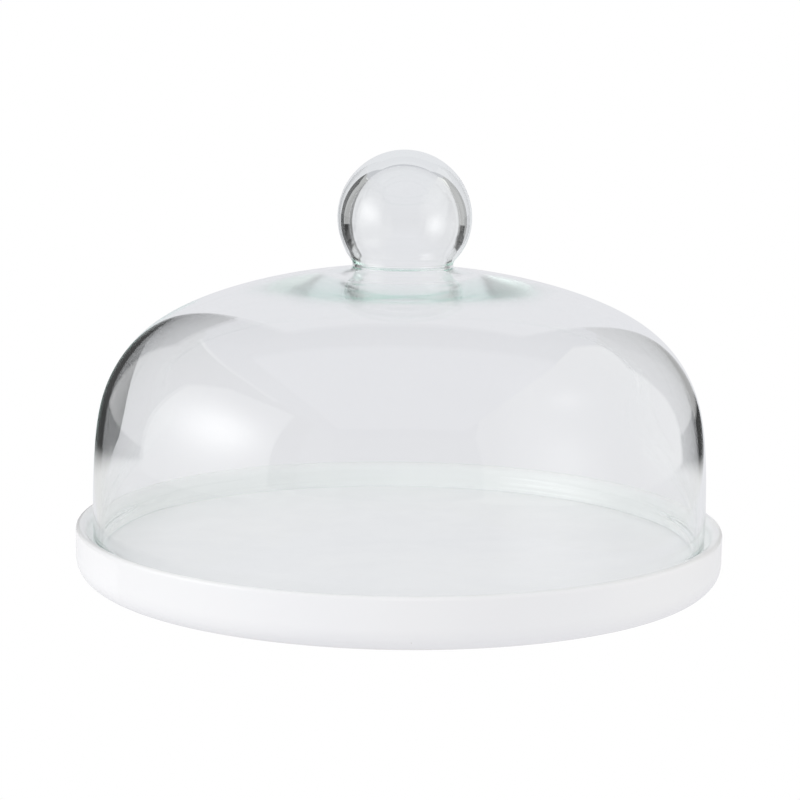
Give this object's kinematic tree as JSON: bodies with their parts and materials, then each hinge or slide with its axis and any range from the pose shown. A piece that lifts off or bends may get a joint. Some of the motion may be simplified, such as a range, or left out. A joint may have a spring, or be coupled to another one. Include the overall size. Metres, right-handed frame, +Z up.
{
  "type": "cake stand dome",
  "caption": "Round white cake plate with an upright rim and a lift-off clear glass dome with a hollow ball knob.",
  "frame": {"origin": "middle of the plate's foot, on the table", "axes": "+Z up along the common axis of plate, dome and ball, which is how the dome lifts"},
  "size_m": [0.3, 0.3, 0.1984],
  "materials": {
    "glazed_white": "gloss glaze",
    "clear_glass": "polished, faint green in the thick places"
  },
  "bodies": {
    "plate": {"plate": "glazed_white"},
    "dome": {"glass_dome": "clear_glass", "neck_weld": "clear_glass", "ball_knob": "clear_glass"}
  },
  "joints": [
    {"name": "dome_lift", "type": "slide", "parent": "plate", "child": "dome", "axis": [0, 0, 1], "range_m": [0, 0.25]}
  ]
}
